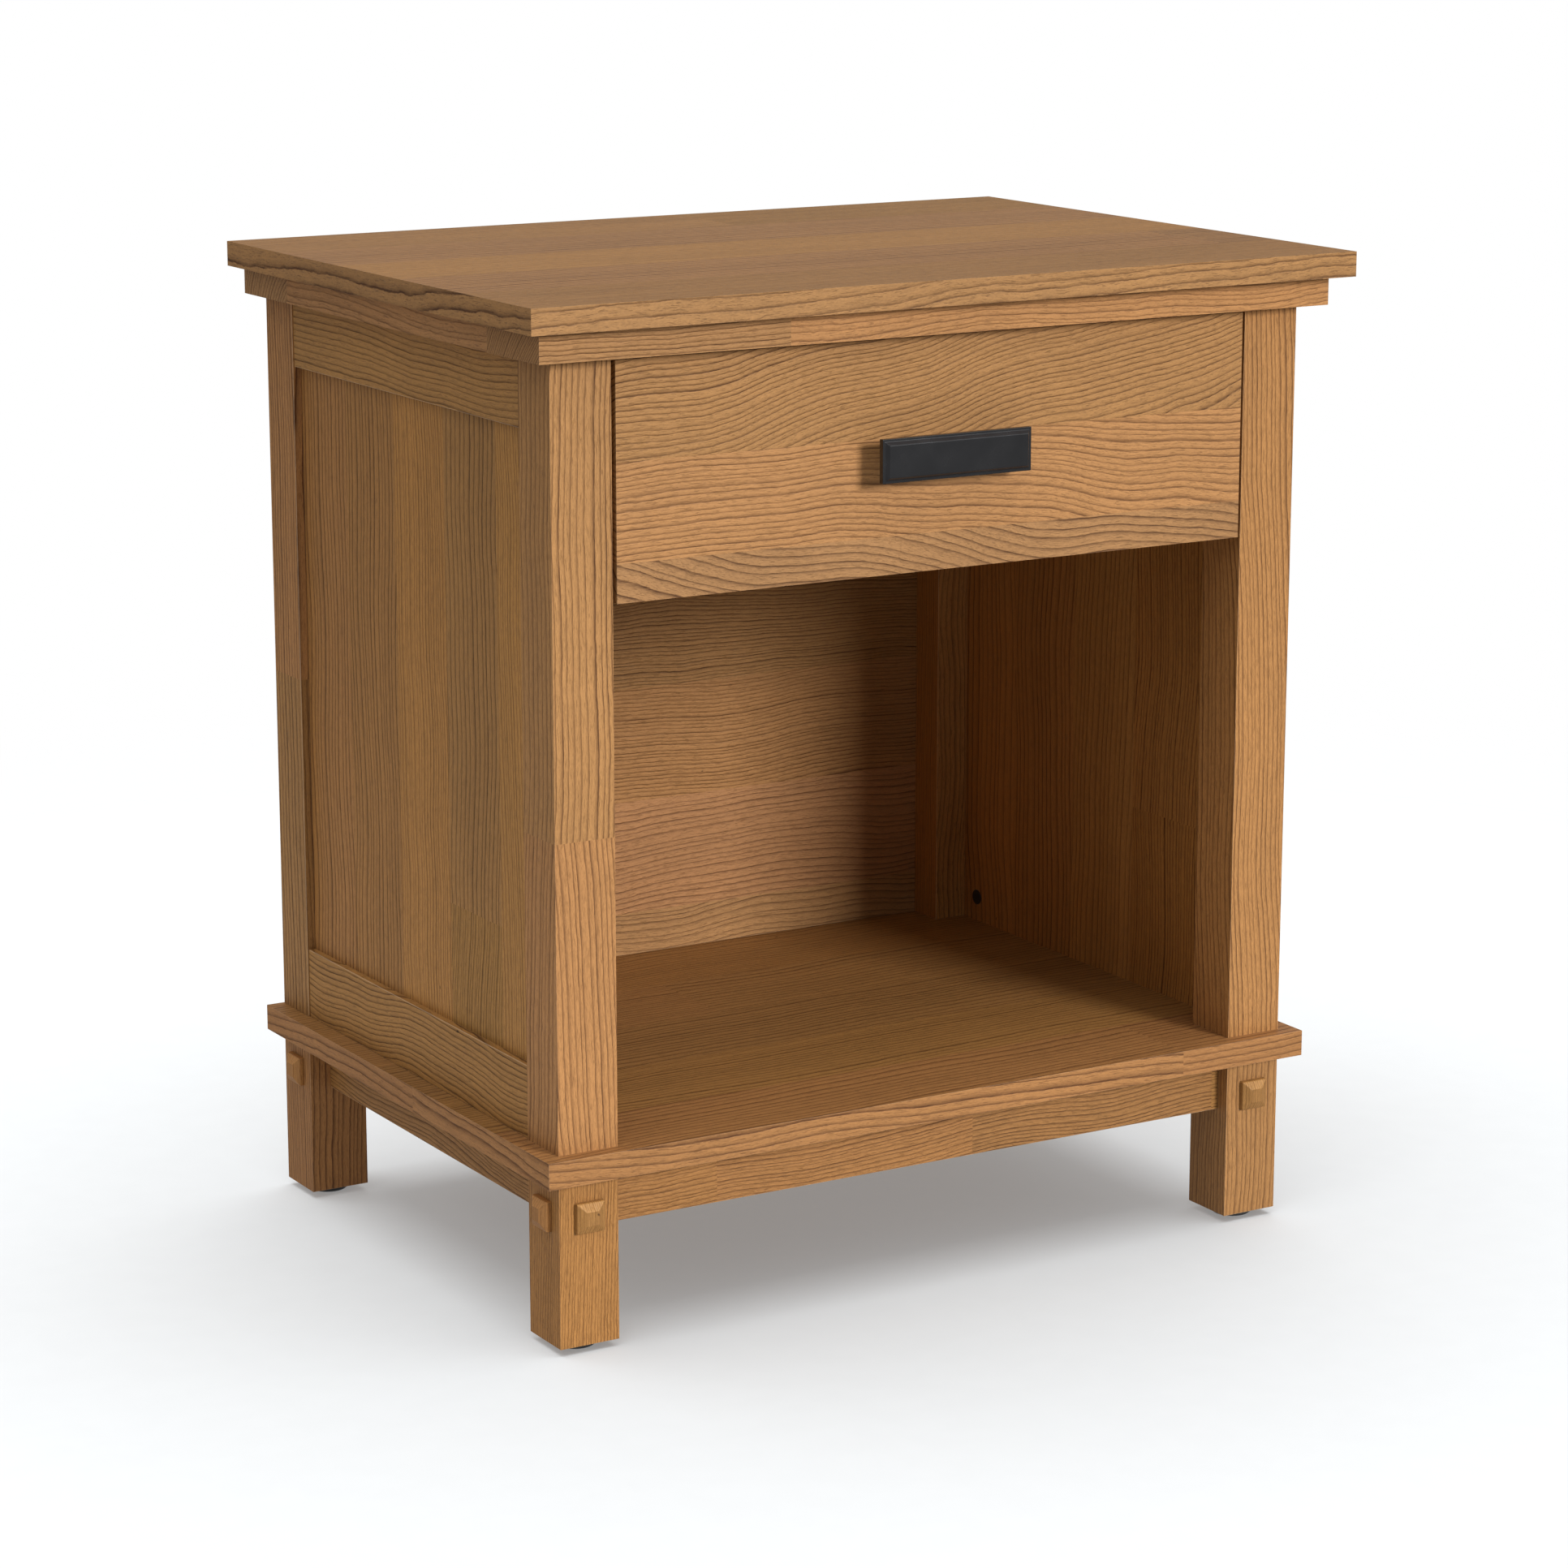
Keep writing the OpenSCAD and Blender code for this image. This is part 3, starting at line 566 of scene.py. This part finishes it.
# Each board's kind or its own settings, and its seed
HONEY_BOARDS = {
    "top_panel": dict(grain="XYZ", turned_ends=True, upward=TOP_PAINTED_SHADE, stave_width=88, stave_shift=0,
                      ring_spacing=4.0, flat_sawn=0.35, swirl=0.22, wiggle=0.6, seed=3),
    "top_frame_front": dict(grain="XYZ", joint_place=-119, ring_spacing=2.4, flat_sawn=0.2, swirl=0.4,
                            wiggle=0.5, pith_depth=70, seed=5),
    "top_frame_rear": dict(grain="XYZ", joint_place=60, ring_spacing=3.1, seed=6),
    "top_frame_left": dict(FRAME_SIDE, seed=7),
    "top_frame_right": dict(FRAME_SIDE, seed=8),
    "post_front_left": dict(POST, joint_place=332, seed=11),
    "post_front_right": dict(POST, flat_sawn=0.3, seed=12),
    "post_rear_left": dict(POST, joint_place=370, seed=13),
    "post_rear_right": dict(POST, joint_place=420, seed=14),
    "side_panel_left": dict(SIDE_PANEL, stave_width=72, stave_shift=20, seed=21),
    "side_panel_right": dict(SIDE_PANEL, stave_width=75, stave_shift=30, seed=22),
    "side_rail_upper_left": dict(UPPER_RAIL, seed=36),
    "side_rail_upper_right": dict(UPPER_RAIL, seed=32),
    "side_rail_lower_left": dict(LOWER_RAIL, seed=33),
    "side_rail_lower_right": dict(LOWER_RAIL, seed=34),
    "back_panel": dict(grain="XZY", stave_width=83, stave_shift=52, ring_spacing=3.3, flat_sawn=0.45,
                       swirl=0.65, wiggle=0.6, seed=41),
    "lower_shelf": dict(grain="XYZ", light=HONEY_WARM, turned_ends=True, stave_width=84, stave_shift=10,
                        joint_place=191.5, ring_spacing=3.2, flat_sawn=0.3, swirl=0.3, wiggle=0.5,
                        pith_depth=110, seed=43),
    "leg_front_left": dict(LEG, seed=51),
    "leg_front_right": dict(LEG, seed=52),
    "leg_rear_left": dict(LEG, seed=53),
    "leg_rear_right": dict(LEG, seed=54),
    "apron_front": dict(APRON, grain="XZY", joint_length=195, joint_place=36, seed=61),
    "apron_rear": dict(APRON, grain="XZY", joint_place=90, seed=62),
    "apron_left": dict(APRON, grain="YZX", seed=63),
    "apron_right": dict(APRON, grain="YZX", seed=64),
    "pegs_front": dict(PEG, grain="ZXY", seed=71),
    "pegs_left": dict(PEG, grain="ZYX", seed=72),
    "pegs_right": dict(PEG, grain="ZYX", seed=73),
    "drawer_front": dict(grain="XZY", stave_width=62.5, stave_shift=38, ring_spacing=4.3, flat_sawn=0.6,
                         swirl=0.8, lean=0.3, wiggle=0.65, seed=13),
}
PALE_BOARDS = {
    "corner_blocks": dict(grain="XYZ", ring_spacing=2.6, seed=101),
    "post_dowels_lower": dict(grain="ZXY", ring_spacing=2.6, seed=102, edge_light=0.0),
    "post_dowels_upper": dict(grain="ZXY", ring_spacing=2.6, seed=103, edge_light=0.0),
    "slide_cleat_left": dict(grain="YZX", ring_spacing=2.6, seed=104),
    "slide_cleat_right": dict(grain="YZX", ring_spacing=2.6, seed=105),
    "drawer_box_front": dict(grain="XZY", ring_spacing=3.0, seed=111),
    "drawer_back": dict(grain="XZY", ring_spacing=3.0, seed=112),
    "drawer_side_left": dict(grain="YZX", ring_spacing=3.0, seed=113),
    "drawer_side_right": dict(grain="YZX", ring_spacing=3.0, seed=114),
    "drawer_bottom": dict(grain="XYZ", ring_spacing=9.0, flat_sawn=1.0, swirl=1.6, seed=115),
}


def paint(node, material):
    """Gives a CAD node one material."""
    mesh = frame["nodes"][node].data
    mesh.materials.clear()
    mesh.materials.append(material)


def ease(node, width, angle=35):
    """Rounds by width the edges of a CAD node that turn by more than angle, in degrees."""
    thing = frame["nodes"][node]
    weld = thing.modifiers.new("weld", "WELD")
    weld.merge_threshold = WELD
    flats = thing.modifiers.new("flats", "DECIMATE")
    flats.decimate_type = "DISSOLVE"
    flats.angle_limit = math.radians(FLAT_TURN)
    bevel = thing.modifiers.new("eased", "BEVEL")
    bevel.width = width
    bevel.segments = 2
    bevel.limit_method = "ANGLE"
    bevel.angle_limit = math.radians(angle)
    bevel.harden_normals = True


def finish_wood():
    """Every board gets its own wood and eased edges."""
    honey = dict(light=HONEY_LIGHT, dark=HONEY_DARK)
    pale = dict(light=PALE_LIGHT, dark=PALE_DARK)
    for node, settings in HONEY_BOARDS.items():
        paint(node, wood_material("honey_" + node, node, **{**honey, **settings}))
        ease(node, BOARD_EDGE)
    for node, settings in PALE_BOARDS.items():
        paint(node, wood_material("pale_" + node, node, **{**pale, **settings}))
        ease(node, SMALL_EDGE)


def finish_metal_and_plastic():
    """Every node in a metal or plastic slot gets that slot's material."""
    finishes = {
        "black_metal": black_paint(),
        "black_plastic": black_plastic(),
        "zinc_steel": zinc_steel("zinc_rolled", ROLLED_MARKS),
    }
    for part in frame["record"]["subparts"]:
        if part["material_slot"] in finishes:
            paint(part["node"], finishes[part["material_slot"]])
    ease("drawer_pull", SMALL_EDGE, angle=20)
    for node in ("leg_glides", "panel_caps"):
        ease(node, SMALL_EDGE)
    for side in ("left", "right"):
        for member in ("slide_outer", "slide_middle", "slide_inner"):
            ease(f"{member}_{side}", SHEET_EDGE)


WOOD = wood_group()
finish_wood()
finish_metal_and_plastic()


# ---------------------------------------------------------------- screws with a cross recess

def islands(builder):
    """The points of each separate solid in a bmesh."""
    left = set(builder.verts)
    while left:
        island, edge = set(), {left.pop()}
        while edge:
            island |= edge
            edge = {e.other_vert(v) for v in edge for e in v.link_edges} - island
        left -= island
        yield [v.co.copy() for v in island]


def screw_shape(points):
    """Where a screw's head ends, which way the head looks, and the screw's outline from the tip to the head,
    as pairs of the distance back from the head's end and the radius."""
    low = Vector([min(p[k] for p in points) for k in range(3)])
    high = Vector([max(p[k] for p in points) for k in range(3)])
    axis = max(range(3), key=lambda k: (high - low)[k])
    middle = (low + high) / 2
    others = [k for k in range(3) if k != axis]

    def from_axis(point):
        return math.hypot(*(point[k] - middle[k] for k in others))

    head_side = 1 if max(points, key=from_axis)[axis] > middle[axis] else -1
    outward = Vector([head_side if k == axis else 0 for k in range(3)])
    end = middle.copy()
    end[axis] = high[axis] if head_side > 0 else low[axis]
    pairs = {(round(abs(end[axis] - p[axis]) / MM, 2), round(from_axis(p) / MM, 2)) for p in points}
    outline = sorted(pairs, key=lambda pair: (-pair[0], pair[1]))
    return end, outward, [(depth * MM, radius * MM) for depth, radius in outline]


def screw_shapes(node):
    """The shape of each screw of a CAD node, in a steady order."""
    builder = bmesh.new()
    builder.from_mesh(frame["nodes"][node].data)
    bmesh.ops.remove_doubles(builder, verts=builder.verts, dist=WELD)
    shapes = [screw_shape(points) for points in islands(builder)]
    builder.free()
    return sorted(shapes, key=lambda shape: tuple(round(c, 4) for c in shape[0]))


def domed(outline):
    """The outline with a rounded rim in place of a square one. A countersunk head stays as it is."""
    (low_depth, low_radius), (top_depth, top_radius) = outline[-2:]
    if low_radius != top_radius:
        return outline
    height = low_depth - top_depth
    rounded = outline[:-1]
    for step in range(DOME_STEPS + 1):
        turn = math.radians(90 * step / DOME_STEPS)
        depth = top_depth + DOME_SHARE * height * (1 - math.sin(turn))
        radius = top_radius * (1 - DOME_INSET * (1 - math.cos(turn)))
        rounded.append((depth, radius))
    return rounded


def cross_outline():
    """The corners of a cross in its own plane, in order round it."""
    reach, half = CROSS_REACH, CROSS_HALF_WIDTH
    arm = [(reach, -half), (reach, half), (half, half)]
    corners = []
    for quarter in range(4):
        cosine = round(math.cos(quarter * math.pi / 2))
        sine = round(math.sin(quarter * math.pi / 2))
        corners += [(x * cosine - y * sine, x * sine + y * cosine) for x, y in arm]
    return corners


def add_screw(builder, end, outward, outline):
    """Adds one screw to a bmesh: turned sides, then a flat with a cross recess."""
    right = outward.orthogonal().normalized()
    up = outward.cross(right)

    def ring(depth, radius):
        verts = []
        for k in range(SCREW_SIDES):
            turn = 2 * math.pi * k / SCREW_SIDES
            place = end - outward * depth + (right * math.cos(turn) + up * math.sin(turn)) * radius
            verts.append(builder.verts.new(place))
        return verts

    def join_loops(first, second):
        for a, b, c, d in zip(first, first[1:] + first[:1], second[1:] + second[:1], second):
            builder.faces.new((a, b, c, d))

    rings = [ring(depth, radius) for depth, radius in domed(outline)]
    builder.faces.new(list(reversed(rings[0])))
    for below, above in zip(rings, rings[1:]):
        join_loops(below, above)

    rim, sunk = [], []
    for x, y in cross_outline():
        rim.append(builder.verts.new(end + right * x + up * y))
    for x, y in cross_outline():
        corner = end + (right * x + up * y) * CROSS_TAPER
        sunk.append(builder.verts.new(corner - outward * CROSS_DEPTH))
    edges = []
    for loop in (rings[-1], rim):
        for a, b in zip(loop, loop[1:] + loop[:1]):
            edges.append(builder.edges.get((a, b)) or builder.edges.new((a, b)))
    bmesh.ops.triangle_fill(builder, edges=edges, normal=outward)
    join_loops(rim, sunk)
    builder.faces.new(sunk)


def detail_screws(node, body, material):
    """One piece with a cross recess in every screw head, in place of a CAD node of screws."""
    builder = bmesh.new()
    for end, outward, outline in screw_shapes(node):
        add_screw(builder, end, outward, outline)
    bmesh.ops.recalc_face_normals(builder, faces=builder.faces)
    mesh = bpy.data.meshes.new(node + "_detail")
    builder.to_mesh(mesh)
    builder.free()
    mesh.polygons.foreach_set("use_smooth", [True] * len(mesh.polygons))
    mesh.set_sharp_from_angle(angle=math.radians(SHARP_TURN))
    mesh.materials.append(material)
    piece = bpy.data.objects.new(node + "_detail", mesh)
    bpy.context.scene.collection.objects.link(piece)
    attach(piece, body)
    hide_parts(node)


SCREWS = {
    "cabinet": ("base_screws", "top_screws", "cleat_screws"),
    "drawer": ("drawer_slide_screws", "drawer_front_screws", "pull_screws"),
}
zinc_turned = zinc_steel("zinc_turned", TURNED_MARKS)
for body, nodes in SCREWS.items():
    for node in nodes:
        detail_screws(node, body, zinc_turned)


# ---------------------------------------------------------------- floor, light and camera

def add_floor():
    """A round pale floor that fades out at its rim and glows faintly. Glossy surfaces don't mirror it."""
    mesh = bpy.data.meshes.new("floor")
    builder = bmesh.new()
    bmesh.ops.create_circle(builder, cap_ends=True, radius=FLOOR_RADIUS, segments=96)
    builder.to_mesh(mesh)
    builder.free()
    floor = bpy.data.objects.new("floor", mesh)
    bpy.context.scene.collection.objects.link(floor)
    material, s, bsdf = new_material("floor_white")
    coords = s.place()
    distance = s.length(coords)
    speckle = s.noise(coords, scale=40.0, detail=3.0)
    tone = s.blend(speckle, 0.3, 0.7, 0.985, 1.0)
    s.put(bsdf.inputs["Base Color"], s.mix(1.0, rgba(FLOOR_WHITE), s.join(tone, tone, tone), "MULTIPLY"))
    alpha = s.blend(distance, FADE_START * FLOOR_RADIUS, FADE_END * FLOOR_RADIUS, 1.0, 0.0)
    s.put(bsdf.inputs["Alpha"], alpha)
    bsdf.inputs["Emission Color"].default_value = rgba(WHITE)
    bsdf.inputs["Emission Strength"].default_value = FLOOR_GLOW
    bsdf.inputs["Roughness"].default_value = 0.9
    bsdf.inputs["Specular IOR Level"].default_value = 0.1
    mesh.materials.append(material)
    floor.visible_glossy = False
    return floor


def add_sky():
    """Soft light from above, faint walls for glossy surfaces to mirror, and a white backdrop."""
    world = bpy.data.worlds.new("studio")
    world.use_nodes = True
    tree = world.node_tree
    tree.nodes.clear()
    s = Shader(tree)
    _, _, up = s.split(s.place("Generated"))
    overhead = s.blend(up, OVERHEAD_START, 1.0, 0.0, OVERHEAD_LIGHT)
    band_below = s.blend(up, BAND_START, OVERHEAD_START)
    band = s.times(band_below, s.blend(up, OVERHEAD_START, 1.0, BAND_LIGHT, 0.0))
    mirrored = s.add("ShaderNodeLightPath", out="Is Glossy Ray")
    walls = s.times(mirrored, s.blend(up, WALLS_END, 0.0, 0.0, WALLS_LIGHT))
    strength = s.total(overhead, band, walls, LEAST_LIGHT)
    light = s.add("ShaderNodeBackground", {"Color": rgba(WHITE), "Strength": strength})
    backdrop = s.add("ShaderNodeBackground", {"Color": rgba(WHITE), "Strength": 1.0})
    seen = s.add("ShaderNodeLightPath", out="Is Camera Ray")
    both = s.add("ShaderNodeMixShader", {0: seen, 1: light, 2: backdrop})
    output = tree.nodes.new("ShaderNodeOutputWorld")
    s.put(output.inputs["Surface"], both)
    bpy.context.scene.world = world


def add_lamp(name, azimuth, elevation, distance, size, power):
    """A square soft lamp that looks at MIDDLE. azimuth is from the front towards the right. Both angles are
    in degrees, and distance and size are in metres."""
    lamp = bpy.data.lights.new(name, "AREA")
    lamp.shape = "SQUARE"
    lamp.size = size
    lamp.energy = power
    thing = bpy.data.objects.new(name, lamp)
    thing.visible_camera = False
    a, e = math.radians(azimuth), math.radians(elevation)
    towards = Vector((math.sin(a) * math.cos(e), -math.cos(a) * math.cos(e), math.sin(e)))
    thing.location = MIDDLE + towards * distance
    thing.rotation_euler = towards.to_track_quat("Z", "Y").to_euler()
    bpy.context.scene.collection.objects.link(thing)
    return thing


def add_lights(floor):
    """The key and the fill light the object only, and the wash lights the floor only."""
    key = add_lamp("key", azimuth=15.5, elevation=17.5, distance=8.0, size=2.1, power=620)
    fill = add_lamp("fill", azimuth=-80, elevation=18, distance=3.5, size=1.5, power=14)
    wash = add_lamp("floor_wash", azimuth=0, elevation=90, distance=2.6, size=4.0, power=119)
    floor_only = bpy.data.collections.new("floor_only")
    floor_only.objects.link(floor)
    all_but_floor = bpy.data.collections.new("all_but_floor")
    all_but_floor.objects.link(floor)
    all_but_floor.collection_objects[0].light_linking.link_state = "EXCLUDE"
    key.light_linking.receiver_collection = all_but_floor
    fill.light_linking.receiver_collection = all_but_floor
    wash.light_linking.receiver_collection = floor_only


def add_camera():
    """The view of the photo, as fitted to the object's edges."""
    camera = bpy.data.cameras.new("camera")
    camera.lens = CAMERA_LENS
    camera.sensor_width = CAMERA_SENSOR
    thing = bpy.data.objects.new("camera", camera)
    thing.location = CAMERA_PLACE
    thing.rotation_euler = (math.radians(90 - CAMERA_LOOKS_DOWN), 0.0, math.radians(CAMERA_AZIMUTH))
    bpy.context.scene.collection.objects.link(thing)
    bpy.context.scene.camera = thing


studio_floor = add_floor()
add_sky()
add_lights(studio_floor)
add_camera()
bpy.context.scene.view_settings.view_transform = "Standard"
